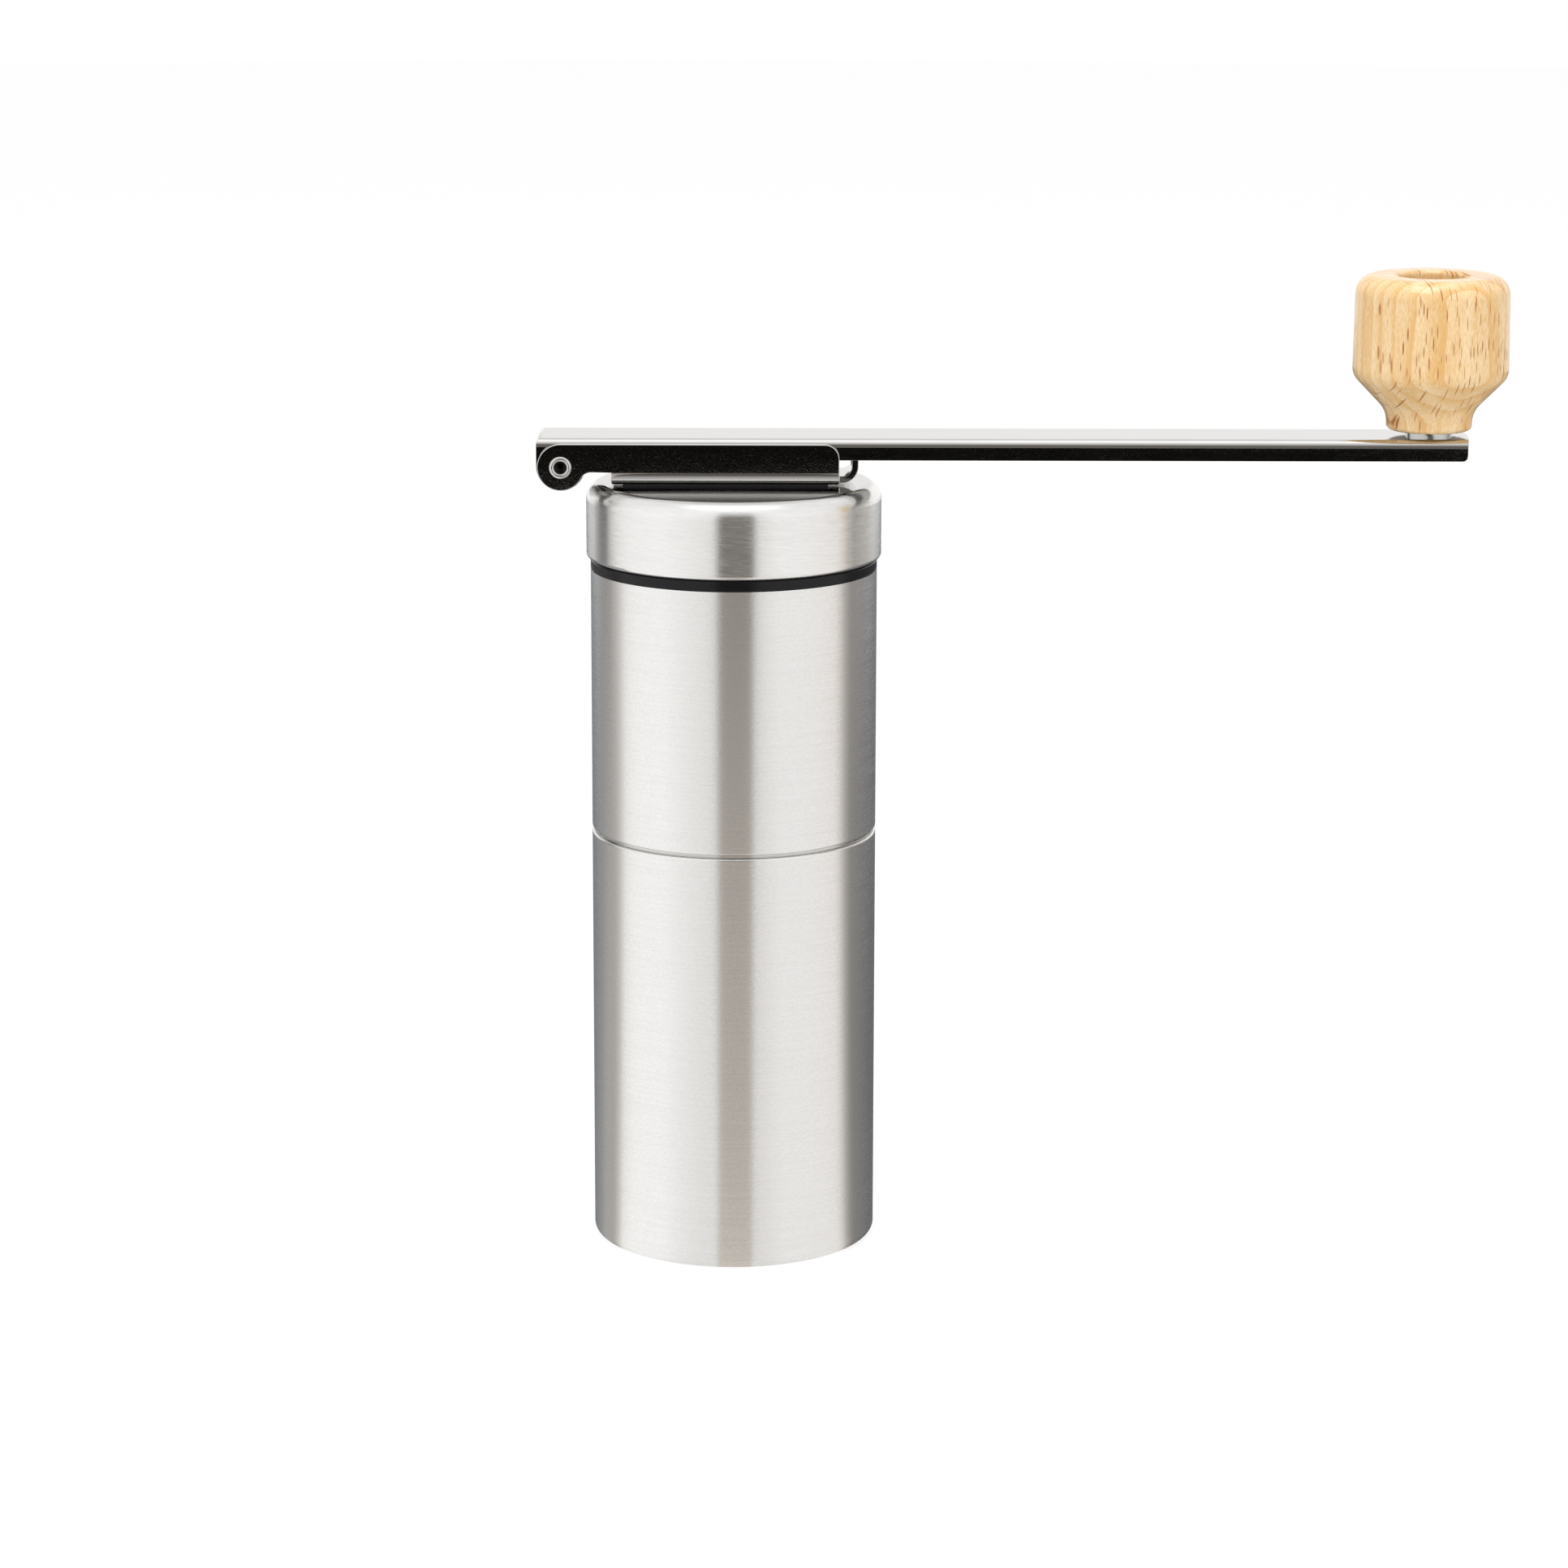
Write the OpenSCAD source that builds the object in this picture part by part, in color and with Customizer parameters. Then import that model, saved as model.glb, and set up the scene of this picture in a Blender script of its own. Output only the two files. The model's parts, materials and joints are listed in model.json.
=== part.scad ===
// Hand crank coffee grinder: a brushed steel hopper over a push-on grounds container, a lid with a
// folding crank, and a conical ceramic burr set on one vertical shaft.
// Millimetres, +Z up, origin at the centre of the container's base.

/* [Body] */
// Outer diameter of the hopper shell and the grounds container
body_d = 52; // [50:0.5:60]
// Sheet thickness of the shells and the lid
shell_t = 0.8; // [0.6:0.1:1.2]
// Height of the grounds container
container_h = 76.8; // [70:0.5:110]
// Radius of the container's bottom edge
base_edge_r = 1.6; // [1:0.1:2.5]
// Height of the hopper shell
hopper_h = 47.85; // [46:0.5:80]
// Radius of the rolled edges of the container's rim and the hopper shell's foot
rim_edge_r = 0.35; // [0.2:0.05:0.5]

/* [Neck] */
// Width of the groove between container and hopper shell
groove_h = 0.7; // [0.5:0.05:1.5]
// Depth of the groove below the shells' surface
groove_depth = 0.5; // [0.3:0.05:0.6]
// Sheet thickness of the neck sleeve
sleeve_t = 0.6; // [0.4:0.1:0.8]
// Length of the neck sleeve inside the container
sleeve_down = 15; // [10:0.5:22]
// Length of the neck sleeve inside the hopper shell
sleeve_up = 15; // [8:0.5:20]

/* [Collar] */
// Thickness of the collar's flange
flange_t = 1.9; // [1:0.1:4]
// Height of the collar's spigot above the flange
spigot_h = 4.7; // [3:0.1:6]
// Wall of the collar's spigot
spigot_t = 1.1; // [0.9:0.1:1.6]
// Length of the collar's skirt inside the hopper shell
collar_down = 21; // [18:0.5:24]
// Wall of the collar's skirt
collar_t = 1.85; // [1.6:0.05:2.6]
// Width of each arm of the shaft's two bridges
bridge_arm_w = 3.6; // [3:0.1:5]
// Height of the arms of the shaft's two bridges
bridge_arm_h = 4.5; // [3:0.1:6]
// Height of the hubs of the shaft's two bridges
hub_h = 7; // [6:0.1:9]
// Wall of the hubs of the shaft's two bridges
hub_t = 1.6; // [1.2:0.1:2.4]

/* [Lid] */
// Overhang of the lid's side beyond the shells, on the radius
lid_over = 0.75; // [0.5:0.05:3]
// Height of the lid above the collar's flange
lid_h = 13.9; // [12:0.1:20]
// Radius of the lid's top edge
lid_edge_r = 2.9; // [1.5:0.1:3.2]
// Radius of the lid's rolled-in bottom edge
lid_roll_r = 0.7; // [0.3:0.1:0.8]
// Thickness of the lid core's top plate
core_plate_t = 2.6; // [2:0.1:4]
// Thickness of the lid core's ribs
core_rib_t = 1.2; // [0.8:0.1:2]
// Wall of the socket boss around the shaft's hexagon
socket_wall = 3; // [2:0.1:4]
// Engagement of the shaft's hexagon in the socket
socket_depth = 14; // [10:0.5:16]

/* [Bracket] */
// Outer width of the crank bracket
bracket_w = 18; // [16:0.5:22]
// Sheet thickness of the bracket and the crank arm
sheet_t = 1.2; // [0.8:0.1:1.5]
// Outer radius of the bends between the bracket's floor and walls
bracket_bend_r = 2.4; // [1.6:0.1:2.8]
// Distance from the lid's side in to the bracket's open end
front_setback = 7.75; // [6.75:0.05:10]
// Distance from the lid's side in to the near end of the bracket's floor
floor_setback = 4.85; // [4.25:0.05:7]
// Radius of the top corner at the bracket's open end
bracket_corner_r = 2.6; // [1:0.1:4]
// Thickness of the spacer between lid and bracket
spacer_t = 0.4; // [0.3:0.1:1]
// Width of the tab that the crank arm rests on
tab_w = 10; // [6:0.5:11]
// Distance from the bracket's open end out to the tab's outer face
tab_reach = 3.5; // [3.3:0.1:5]
// Outer radius of the tab's upward curl
tab_bend_r = 3; // [2.2:0.1:3.4]
// Distance of each bracket screw from the shaft's axis
bracket_screw_x = 12; // [10:0.5:14]

/* [Crank] */
// Distance from the lid's side out to the hinge pin's axis
pin_reach = 4.25; // [3.8:0.05:6]
// Height of the hinge pin's axis above the bracket's underside
pin_h = 3.3; // [3.2:0.1:3.8]
// Height of the bracket's wall tops above the hinge pin's axis, also the radius of its ears
ear_r = 4.2; // [3.8:0.1:4.4]
// Diameter of the hinge pin
pin_d = 3; // [2.4:0.1:3.4]
// Diameter of the hinge pin's two heads
pin_head_d = 4; // [3.6:0.1:5]
// Diameter of the dimple in each head of the hinge pin
pin_dimple_d = 2.2; // [1.6:0.1:2.6]
// Crank radius, from the shaft's axis to the knob's axis
crank_r = 125.5; // [100:0.5:150]
// Length of the arm beyond the knob's axis
arm_end = 6.9; // [5.5:0.1:9]
// Height of the arm's outer face above the hinge pin's axis
arm_top_h = 5; // [4.8:0.1:5.4]
// Depth of the arm's channel, from its outer face to the edges of its walls
arm_depth = 3.8; // [3:0.1:5]
// Outer radius of the arm's long bends
arm_bend_r = 1.5; // [1.3:0.1:2.5]
// Radius of the arm's convex end, seen from above
arm_end_r = 42; // [20:1:80]
// Radius of the lower corners where the arm's walls end at the knob
arm_corner_r = 0.9; // [0.3:0.1:1.6]
// Radius of the arm's lobes around the hinge pin
arm_lobe_r = 4.4; // [4:0.1:4.6]

/* [Knob] */
// Largest diameter of the knob
knob_d = 28; // [22:0.5:34]
// Diameter of the knob just below its top edge
knob_top_d = 27.7; // [22:0.1:34]
// Diameter of the knob's neck
knob_neck_d = 15.4; // [13:0.1:18]
// Height of the knob
knob_h = 27.9; // [24:0.1:40]
// Radius of the knob's top edge
knob_edge_r = 3.4; // [2:0.1:4]
// Diameter of the knob's counterbore
knob_cbore_d = 12.8; // [11:0.1:14]
// Depth of the knob's counterbore
knob_cbore_h = 8; // [6:0.5:12]
// Diameter of the knob axle
axle_d = 6; // [5:0.1:7]
// Diameter of the washer under the knob
knob_washer_d = 8.4; // [7.5:0.1:12]
// Thickness of the washer under the knob
knob_washer_t = 0.95; // [0.6:0.05:1.5]

/* [Burrs] */
// Distance from the shells' surface in to the ring burr
burr_inset = 7; // [6.4:0.1:8]
// Height of the ring burr
ring_h = 16; // [14:0.5:18]
// Wall of the ring burr at its foot
ring_wall_t = 3.5; // [2.8:0.1:4.5]
// Radius of the cone burr at its top
cone_top_r = 7; // [6.6:0.1:8]
// Gap between the two burrs' faces at the set grind, measured level
burr_gap = 0.5; // [0.35:0.05:0.9]
// Number of large spiral teeth on the cone burr
cone_teeth = 9; // [6:1:12]
// Number of large teeth in the ring burr
ring_teeth = 12; // [8:1:14]
// Number of fine teeth around the foot of each burr
fine_teeth = 36; // [24:1:48]
// Depth of the fine teeth
fine_depth = 0.7; // [0.4:0.1:1]
// Wall of the carrier around the ring burr
seat_wall = 1.8; // [1.4:0.1:2]
// Thickness of the ring that retains the ring burr
retainer_t = 1.6; // [1.2:0.1:2.4]

/* [Drive] */
// Diameter of the drive shaft, also across the corners of its hexagons
shaft_d = 6; // [5:0.1:7]
// Diameter of the thread at the shaft's foot
thread_d = 5; // [4:0.1:5]
// Outer diameter of the two bushes
bush_d = 9; // [8.6:0.1:10]
// Outer diameter of the bushes' flanges
bush_flange_d = 11; // [10:0.1:12]
// Wire diameter of the spring
spring_wire = 0.9; // [0.6:0.1:1]
// Outer diameter of the spring
spring_d = 9.4; // [9:0.1:9.8]
// Number of turns of the spring
spring_turns = 5; // [4:1:6]
// Height of the star wheel of the adjusting nut
nut_h = 5; // [4:0.1:7]
// Diameter over the lobes of the adjusting nut
nut_d = 20; // [18:0.5:24]
// Number of lobes of the adjusting nut
nut_lobes = 6; // [5:1:8]

/* [Fits] */
// Radial clearance of pushed-on and pressed sleeves
push_fit = 0.06; // [0.03:0.01:0.1]
// Radial clearance of a shaft or pin that turns in a bore
run_fit = 0.05; // [0.02:0.01:0.08]
// Clearance between parts that turn past each other
turn_gap = 0.3; // [0.25:0.05:0.5]
// Clearance between flat faces that rest on each other across a joint
seat_gap = 0.05; // [0.02:0.01:0.1]

/* [Hidden] */
$fn = 96;

// Radii and levels of the shells
body_r = body_d / 2;
bore_r = body_r - shell_t;
rim_z = container_h;
hopper_z = rim_z + groove_h;
hopper_top = hopper_z + hopper_h;
flange_top = hopper_top + flange_t;
lid_r = body_r + lid_over;
lid_bore_r = lid_r - shell_t;
lid_top = flange_top + lid_h;
sleeve_r = bore_r - push_fit;

// Lid core, socket and collar
core_r = lid_bore_r - push_fit;
core_top = lid_top - shell_t - seat_gap;
core_plate_z = core_top - core_plate_t;
core_edge_r = max(lid_edge_r - shell_t, 0.3);
collar_r = bore_r - push_fit;
spigot_bore_r = collar_r - collar_t;
spigot_r = spigot_bore_r + spigot_t;
skirt_bore_r = spigot_r + turn_gap;
spigot_top = flange_top + spigot_h;
rib_z = spigot_top + 1;
shaft_r = shaft_d / 2;
shaft_top = core_plate_z - 0.5;
socket_z = shaft_top - socket_depth;
socket_r = shaft_r + run_fit;

// Upper bridge of the shaft
bush_r = bush_d / 2;
hub_r = bush_r + hub_t;
bush_flange_r = bush_flange_d / 2;
bush_flange_t = 1;
collar_z = hopper_top - collar_down;
top_hub_top = collar_z + hub_h;
clip_washer_t = 0.6;
clip_washer_z = top_hub_top + bush_flange_t + seat_gap;
clip_t = 0.7;
clip_slot_w = 3;
clip_z = clip_washer_z + clip_washer_t + seat_gap;
clip_groove_r = shaft_r - 0.6;
top_hex_z = clip_z + clip_t + 2;

// Burr carrier, from its funnel down to the ring burr's seat
carrier_r = sleeve_r - sleeve_t - push_fit;
carrier_skirt_t = 1.6;
carrier_top = hopper_z + sleeve_up;
funnel_h = 8;
throat_h = 4;
throat_z = carrier_top - funnel_h;
ring_top = throat_z - throat_h;
ring_r = body_r - burr_inset;
ring_z = ring_top - ring_h;
seat_r = ring_r + push_fit;
throat_r = ring_r - 2.4;
retainer_screw_r = (seat_r + seat_wall + carrier_r - carrier_skirt_t) / 2;
retainer_r = carrier_r - 1.4;
retainer_screw_l = 7;
screw_shank_r = 0.9;

// Cone burr on its driver
cone_foot_r = ring_r - ring_wall_t - burr_gap;
cone_h = ring_h + 0.6;
cone_land = 0.8;
cone_slope = (cone_foot_r - cone_top_r) / (cone_h - cone_land);
grind_h = 6;
cone_waist_r = cone_foot_r - cone_slope * (grind_h - cone_land);
spring_r = spring_d / 2;
spring_bore_r = spring_r + 0.25;
driver_recess_h = 3;
driver_rim_t = 4.5;
driver_recess_r = cone_foot_r - driver_rim_t;
driver_neck_r = 7.5;
click_r = 5;
click_l = 3;
click_w = 0.7;
key_w = 3;
key_r = driver_recess_r + 1.8;
key_h = 2;
key_gap = 0.1;
driver_top = ring_z + driver_recess_h + 1.2;
driver_z = ring_z - 3.4;
burr_up = 0.4;
nut_top = driver_z - seat_gap;
nut_collar_h = 1.2;
thread_r = thread_d / 2;
foot_hex_z = nut_top + burr_up + 0.2;
foot_hex_top = driver_top + burr_up + 0.5;
shaft_z = nut_top - nut_h - nut_collar_h - 1.4;

// Teeth of the burrs: width, depth and slant of the large and the fine ones
cone_tooth = [4, 1.9, 26];
ring_tooth = [2.6, 1.7, 24];
fine_tooth = [1.1, fine_depth, 14];

// Lower bush, spring washer and spring
lower_flange_z = throat_z - bush_flange_t;
spring_washer_t = 0.7;
spring_washer_z = lower_flange_z - seat_gap - spring_washer_t;
spring_h = spring_washer_z - driver_top - 2 * seat_gap;

// Bracket and crank arm
bracket_front_x = lid_r - front_setback;
floor_end_x = lid_r - floor_setback;
tab_x = bracket_front_x + tab_reach;
pin_x = lid_r + pin_reach;
bracket_z = lid_top + spacer_t;
pin_z = bracket_z + pin_h;
pin_r = pin_d / 2;
wall_top = pin_z + ear_r;
neck_z = bracket_z + bracket_bend_r;
channel_gap = 0.15;
arm_w = bracket_w - 2 * sheet_t - 2 * channel_gap;
arm_top = pin_z + arm_top_h;
arm_foot_z = arm_top - arm_depth;
arm_near_x = -pin_x - arm_lobe_r;
arm_far_x = crank_r + arm_end;
web_z = arm_top - sheet_t;
bracket_screw_r = 1.25;
bracket_head_r = 2.4;
bracket_head_h = 1.4;

// Knob on its axle
axle_r = axle_d / 2;
axle_neck_r = axle_r - 0.6;
knob_z = arm_top + knob_washer_t + seat_gap;
knob_top = knob_z + knob_h;
cbore_z = knob_top - knob_cbore_h;
knob_r = knob_d / 2;
knob_neck_r = knob_neck_d / 2;
knob_cbore_r = knob_cbore_d / 2;
axle_top = cbore_z + 0.1;
top_washer_t = 0.8;
knob_screw_r = 1.45;
knob_screw_l = 8;

// Colours
steel = [0.78, 0.78, 0.77];
bright = [0.86, 0.86, 0.86];
black = [0.1, 0.1, 0.11];
bronze = [0.66, 0.5, 0.3];
white_ceramic = [0.93, 0.92, 0.88];
beech = [0.9, 0.75, 0.54];

// Points of an arc about c, from angle a0 to a1
function arc(c, r, a0, a1, n = 10) =
    [for (i = [0 : n]) c + r * [cos(a0 + (a1 - a0) * i / n), sin(a0 + (a1 - a0) * i / n)]];

// A rectangle whose four corners have their own radii: near-bottom, far-bottom, far-top, near-top
module plate(w, h, r1 = 0, r2 = 0, r3 = 0, r4 = 0) {
    difference() {
        square([w, h]);
        corner_cut([0, 0], [1, 1], r1);
        corner_cut([w, 0], [-1, 1], r2);
        corner_cut([w, h], [-1, -1], r3);
        corner_cut([0, h], [1, -1], r4);
    }
}

// What a corner at p loses when it is rounded; s points from the corner into the plate
module corner_cut(p, s, r) {
    if (r > 0)
        translate(p)
            scale_sign(s)
                difference() {
                    translate([-1, -1]) square(r + 1);
                    translate([r, r]) circle(r);
                }
}

module scale_sign(s) {
    mirror([s.x < 0 ? 1 : 0, 0])
        mirror([0, s.y < 0 ? 1 : 0])
            children();
}

// An outline in X and Z, given thickness w about the XZ plane
module across(w) {
    rotate([90, 0, 0]) linear_extrude(w, center = true) children();
}

// A section in Y and Z, run along X from x0 to x1
module along(x0, x1) {
    translate([x0, 0, 0]) rotate([90, 0, 90]) linear_extrude(x1 - x0) children();
}

module tube(r_out, r_in, z0, z1) {
    translate([0, 0, z0])
        difference() {
            cylinder(r = r_out, h = z1 - z0);
            translate([0, 0, -1]) cylinder(r = r_in, h = z1 - z0 + 2);
        }
}

module rod(r, z0, z1) {
    translate([0, 0, z0]) cylinder(r = r, h = z1 - z0);
}

module hexagon(r, z0, z1) {
    translate([0, 0, z0]) cylinder(r = r, h = z1 - z0, $fn = 6);
}

// Three arms from a hub out to radius r
module bridge(r, z0, h) {
    for (i = [0 : 2])
        rotate([0, 0, 120 * i])
            translate([hub_r - 1, -bridge_arm_w / 2, z0])
                cube([r - hub_r + 1, bridge_arm_w, h]);
}

// ---- Container and hopper ----

module container_shell() {
    color(steel)
        rotate_extrude()
            difference() {
                plate(body_r, rim_z, 0, base_edge_r, rim_edge_r, 0);
                translate([0, shell_t])
                    plate(bore_r, rim_z, 0, max(base_edge_r - shell_t, 0.2), 0, 0);
            }
}

module hopper_shell() {
    color(steel)
        rotate_extrude()
            translate([bore_r, hopper_z])
                plate(shell_t, hopper_h, 0, rim_edge_r, 0, 0);
}

module neck_sleeve() {
    bead_z = rim_z + 0.2;
    bead_edge_r = 0.12;
    ledge_z = rim_z + seat_gap;
    ledge_w = push_fit + 0.12;
    color(bright)
        rotate_extrude() {
            translate([sleeve_r - sleeve_t, rim_z - sleeve_down])
                plate(sleeve_t, sleeve_down + groove_h + sleeve_up, 0, 0.3, 0, 0);
            translate([sleeve_r - 0.1, bead_z])
                plate(body_r - groove_depth - sleeve_r + 0.1, hopper_z - bead_z,
                      0, bead_edge_r, bead_edge_r, 0);
            // The ledge rests on the container's rim, set back behind a shadow gap
            translate([sleeve_r - 0.1, ledge_z])
                square([ledge_w + 0.1, hopper_z - ledge_z]);
        }
}

module hopper_collar() {
    bean_lead_h = 4;
    color(black)
        union() {
            rotate_extrude()
                difference() {
                    union() {
                        translate([spigot_bore_r, collar_z])
                            square([collar_t, collar_down + 0.1]);
                        translate([spigot_bore_r, hopper_top])
                            plate(body_r - spigot_bore_r, flange_t, 0, 0.25, 0.25, 0);
                        translate([spigot_bore_r, hopper_top])
                            plate(spigot_t, flange_t + spigot_h, 0, 0, 0.3, 0.3);
                    }
                    // Lead-in for the beans
                    polygon([[spigot_bore_r - 1, collar_z - 0.1],
                             [collar_r - 0.7, collar_z - 0.1],
                             [spigot_bore_r, collar_z + bean_lead_h],
                             [spigot_bore_r - 1, collar_z + bean_lead_h]]);
                }
            intersection() {
                difference() {
                    union() {
                        bridge(collar_r, collar_z, bridge_arm_h);
                        rod(hub_r, collar_z, top_hub_top);
                    }
                    rod(bush_r + push_fit, collar_z - 1, top_hub_top + 1);
                }
                rod(bore_r - 0.6, collar_z, top_hub_top);
            }
        }
}

module top_bush() {
    color(bronze)
        difference() {
            union() {
                rod(bush_r, collar_z, top_hub_top + 0.1);
                rod(bush_flange_r, top_hub_top, top_hub_top + bush_flange_t);
            }
            rod(shaft_r + run_fit, collar_z - 1, top_hub_top + bush_flange_t + 1);
        }
}

// ---- Burr set ----

// Three places around the axis for the retainer's screws, between the bridge's arms
module at_screws() {
    for (i = [0 : 2])
        rotate([0, 0, 120 * i + 60])
            translate([retainer_screw_r, 0, 0])
                children();
}

module burr_carrier() {
    color(black)
        difference() {
            union() {
                rotate_extrude()
                    difference() {
                        translate([throat_r, ring_z])
                            square([carrier_r - throat_r, carrier_top - ring_z]);
                        // Funnel down to the throat
                        polygon([[throat_r - 1, throat_z], [throat_r, throat_z],
                                 [carrier_r - 0.9, carrier_top + 0.1],
                                 [throat_r - 1, carrier_top + 0.1]]);
                        // Coring between the seat and the skirt
                        translate([seat_r + seat_wall, ring_z - 1])
                            square([carrier_r - carrier_skirt_t - seat_r - seat_wall, ring_h - 1]);
                    }
                intersection() {
                    union() {
                        bridge(carrier_r, throat_z + 0.6, bridge_arm_h);
                        rod(hub_r, throat_z, throat_z + hub_h);
                    }
                    rod(carrier_r - 1.2, throat_z, throat_z + hub_h);
                }
                // Screw bosses across the coring
                at_screws() rod(screw_shank_r + 1.1, ring_z + 0.3, ring_top - 1);
            }
            rod(bush_r + push_fit, throat_z - 1, throat_z + hub_h + 1);
            // Seat of the ring burr
            rod(seat_r, ring_z - 1, ring_top + seat_gap);
            at_screws() rod(screw_shank_r + push_fit, ring_z - 1, ring_z + retainer_screw_l + 2);
        }
}

module lower_bush() {
    color(bronze)
        difference() {
            union() {
                rod(bush_r, throat_z - 0.1, throat_z + hub_h);
                rod(bush_flange_r, lower_flange_z, throat_z);
            }
            rod(shaft_r + run_fit, lower_flange_z - 1, throat_z + hub_h + 1);
        }
}

// A V-shaped groove along a cone of the given mean radius and half-angle, slanted as the tooth says
module tooth_groove(r, z, lean, tooth, turn, length) {
    width = tooth[0];
    depth = tooth[1];
    translate([r, 0, z])
        rotate([0, -lean, 0])
            rotate([turn * tooth[2], 0, 0])
                linear_extrude(length, center = true)
                    polygon([[-depth, 0], [0.6, -width / 2], [0.6, width]]);
}

module ring_burr() {
    gap_r = cone_foot_r + burr_gap;
    waist_r = cone_waist_r + burr_gap;
    lean = atan(cone_slope);
    mouth_t = 3.4;
    mouth_r = ring_r - mouth_t;
    edge_c = 0.4;
    // Length by which the grooves run past the faces they cut
    fine_over = 3;
    mouth_over = 5;
    mouth_lean = -atan((mouth_r - waist_r) / (ring_h - grind_h));
    color(white_ceramic)
        difference() {
            rotate_extrude()
                polygon([[gap_r, ring_z], [ring_r - edge_c, ring_z], [ring_r, ring_z + edge_c],
                         [ring_r, ring_top - edge_c], [ring_r - edge_c, ring_top],
                         [mouth_r, ring_top], [waist_r, ring_z + grind_h],
                         [gap_r, ring_z + cone_land]]);
            // Fine teeth around the foot
            for (i = [0 : fine_teeth - 1])
                rotate([0, 0, 360 * i / fine_teeth])
                    mirror([1, 0, 0])
                        tooth_groove(-(gap_r + waist_r) / 2, ring_z + (grind_h + cone_land) / 2,
                                     -lean, fine_tooth, 1, grind_h + fine_over);
            // Large teeth from the mouth down to the waist
            for (i = [0 : ring_teeth - 1])
                rotate([0, 0, 360 * i / ring_teeth])
                    mirror([1, 0, 0])
                        tooth_groove(-(mouth_r + waist_r) / 2, ring_z + (ring_h + grind_h) / 2,
                                     -mouth_lean, ring_tooth, 1, ring_h - grind_h + mouth_over);
        }
}

module burr_retainer() {
    color(bright)
        difference() {
            tube(retainer_r, cone_foot_r + burr_gap + 0.8, ring_z - retainer_t, ring_z);
            at_screws() rod(screw_shank_r + push_fit, ring_z - retainer_t - 1, ring_z + 1);
        }
}

module retainer_screws() {
    head_z = ring_z - retainer_t;
    color(bright)
        at_screws()
            difference() {
                union() {
                    rod(screw_shank_r, head_z - 0.1, ring_z + retainer_screw_l);
                    rod(1.7, head_z - 1.1, head_z);
                }
                hexagon(0.8, head_z - 2, head_z - 0.4);
            }
}

module cone_burr() {
    lean = atan(cone_slope);
    groove_z = ring_z + cone_h * 0.64;
    groove_r = cone_foot_r - cone_slope * (groove_z - ring_z - cone_land);
    fine_r = (cone_foot_r + cone_waist_r) / 2;
    color(white_ceramic)
        difference() {
            rotate_extrude()
                polygon([[spring_bore_r, ring_z], [cone_foot_r, ring_z],
                         [cone_foot_r, ring_z + cone_land], [cone_top_r, ring_z + cone_h],
                         [spring_bore_r, ring_z + cone_h]]);
            // Recess and key slots of the driver
            rod(driver_recess_r, ring_z - 1, ring_z + driver_recess_h);
            driver_keys(key_w, key_r, ring_z - 1, ring_z + key_h);
            for (i = [0 : fine_teeth - 1])
                rotate([0, 0, 360 * i / fine_teeth])
                    tooth_groove(fine_r, ring_z + (grind_h + cone_land) / 2,
                                 lean, fine_tooth, -1, grind_h + 2);
            for (i = [0 : cone_teeth - 1])
                rotate([0, 0, 360 * i / cone_teeth])
                    tooth_groove(groove_r, groove_z, lean, cone_tooth, -1, cone_h * 0.95);
        }
}

// The driver's three keys, also cut as slots in the cone burr
module driver_keys(w, r, z0, z1) {
    intersection() {
        union()
            for (i = [0 : 2])
                rotate([0, 0, 120 * i])
                    translate([0, -w / 2, z0])
                        cube([r, w, z1 - z0]);
        rod(r, z0, z1);
    }
}

module burr_driver() {
    flange_z = ring_z - 1.4;
    color(black)
        difference() {
            union() {
                rod(driver_recess_r - key_gap, flange_z, ring_z + driver_recess_h - seat_gap);
                driver_keys(key_w - 2 * key_gap, key_r - key_gap, flange_z, ring_z + key_h - key_gap);
                rod(spring_bore_r - key_gap, ring_z, driver_top);
                rod(driver_neck_r, driver_z, ring_z);
            }
            hexagon(shaft_r + run_fit, driver_z - 1, driver_top + 1);
            // Click notches that hold the nut
            for (i = [0 : 11])
                rotate([0, 0, 30 * i])
                    translate([click_r, 0, driver_z])
                        rotate([45, 0, 0])
                            cube([click_l, click_w, click_w], center = true);
        }
}

module adjusting_nut() {
    lobe_r = 2.6;
    color(black)
        difference() {
            union() {
                translate([0, 0, nut_top - nut_h]) {
                    cylinder(r = nut_d / 2 - lobe_r, h = nut_h);
                    for (i = [0 : nut_lobes - 1])
                        rotate([0, 0, 360 * i / nut_lobes])
                            translate([nut_d / 2 - lobe_r, 0, 0])
                                cylinder(r = lobe_r, h = nut_h);
                }
                rod(thread_r + 2, nut_top - nut_h - nut_collar_h, nut_top - nut_h + 0.1);
            }
            rod(thread_r + run_fit, shaft_z, nut_top + 1);
        }
}

// ---- Shaft ----

module drive_shaft() {
    color(bright)
        difference() {
            union() {
                rod(thread_r, shaft_z, foot_hex_z + 0.1);
                hexagon(shaft_r, foot_hex_z, foot_hex_top);
                rod(shaft_r, foot_hex_top, top_hex_z);
                hexagon(shaft_r, top_hex_z, shaft_top);
            }
            tube(shaft_r + 1, clip_groove_r, clip_z - seat_gap, clip_z + clip_t + seat_gap);
        }
}

module shaft_clip() {
    color(bright)
        difference() {
            tube(bush_flange_r - 0.6, clip_groove_r + push_fit, clip_z, clip_z + clip_t);
            translate([-bush_flange_r, -clip_slot_w / 2, clip_z - 1])
                cube([bush_flange_r, clip_slot_w, clip_t + 2]);
        }
}

module clip_washer() {
    color(bright)
        tube(bush_flange_r - 0.3, shaft_r + run_fit, clip_washer_z, clip_washer_z + clip_washer_t);
}

module spring_washer() {
    color(bright)
        tube(spring_r + 0.3, shaft_r + run_fit, spring_washer_z, spring_washer_z + spring_washer_t);
}

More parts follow.
